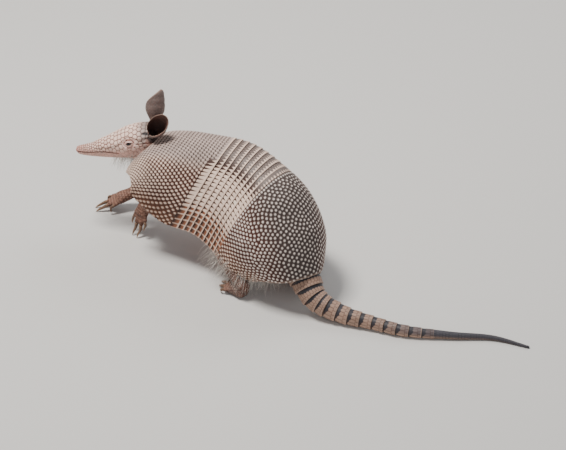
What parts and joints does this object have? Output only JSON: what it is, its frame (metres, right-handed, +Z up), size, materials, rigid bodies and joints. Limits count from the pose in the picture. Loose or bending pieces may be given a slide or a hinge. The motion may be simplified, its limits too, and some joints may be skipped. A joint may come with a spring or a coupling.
{
  "type": "armadillo model",
  "caption": "Life-size still model of a nine-banded armadillo, walking with its back arched, head low and turned aside, ears up and ringed tail laid behind it.",
  "frame": {"origin": "on the ground, under the middle of the whole model's box", "axes": "+Z up; the nose points towards -X and the animal's left side faces -Y"},
  "size_m": [0.681, 0.1682, 0.2131],
  "materials": {
    "shell": "hard grey-brown horn-covered bone",
    "bands": "hard cream and brown horn-covered bone",
    "face": "pink-cream scutes and skin",
    "ear_skin": "pebbled dark brown skin",
    "skin": "wrinkled red-brown skin",
    "tail_shell": "ringed horn scales",
    "horn": "worn horn",
    "eye": "wet black"
  },
  "bodies": {
    "root": {"scapular_shield": "shell", "band_1": "bands", "band_2": "bands", "band_3": "bands", "band_4": "bands", "band_5": "bands", "band_6": "bands", "band_7": "bands", "band_8": "bands", "pelvic_shield": "shell", "head": "face", "head_shield": "face", "lower_jaw": "face", "eye_left": "eye", "eye_right": "eye", "ear_left": "ear_skin", "ear_right": "ear_skin", "neck": "skin", "trunk": "skin", "tail_base": "tail_shell", "tail_middle": "tail_shell", "tail_end": "tail_shell", "tail_tip": "tail_shell", "leg_front_left": "skin", "foot_front_left": "skin", "claw_front_left_1": "horn", "claw_front_left_2": "horn", "claw_front_left_3": "horn", "claw_front_left_4": "horn", "leg_front_right": "skin", "foot_front_right": "skin", "claw_front_right_1": "horn", "claw_front_right_2": "horn", "claw_front_right_3": "horn", "claw_front_right_4": "horn", "leg_hind_left": "skin", "foot_hind_left": "skin", "claw_hind_left_1": "horn", "claw_hind_left_2": "horn", "claw_hind_left_3": "horn", "claw_hind_left_4": "horn", "claw_hind_left_5": "horn", "leg_hind_right": "skin", "foot_hind_right": "skin", "claw_hind_right_1": "horn", "claw_hind_right_2": "horn", "claw_hind_right_3": "horn", "claw_hind_right_4": "horn", "claw_hind_right_5": "horn"}
  },
  "joints": []
}
